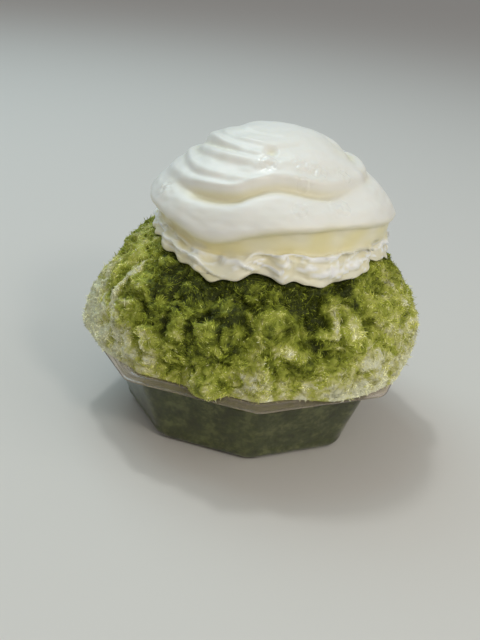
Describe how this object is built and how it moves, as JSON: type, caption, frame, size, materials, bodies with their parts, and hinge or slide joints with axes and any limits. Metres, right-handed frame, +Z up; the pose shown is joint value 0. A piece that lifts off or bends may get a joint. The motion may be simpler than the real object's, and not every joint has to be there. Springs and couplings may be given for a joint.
{
  "type": "shaved ice dessert",
  "caption": "Heap of green tea shaved ice in a clear octagonal plastic bowl, topped with a folded dome of whipped cream.",
  "frame": {"origin": "middle of the flat underside of the bowl", "axes": "+Z up out of the bowl, -Y towards the front, where one corner of the octagonal rim points"},
  "size_m": [0.1413, 0.137, 0.1212],
  "materials": {
    "clear_plastic": "thin clear formed plastic, glossy",
    "matcha_ice": "fluffy shaved ice soaked with green tea syrup, damp and finely rough",
    "whipped_cream": "soft whipped cream, satin with moist highlights"
  },
  "bodies": {
    "root": {"bowl": "clear_plastic", "shaved_ice": "matcha_ice", "whipped_cream": "whipped_cream"}
  },
  "joints": []
}
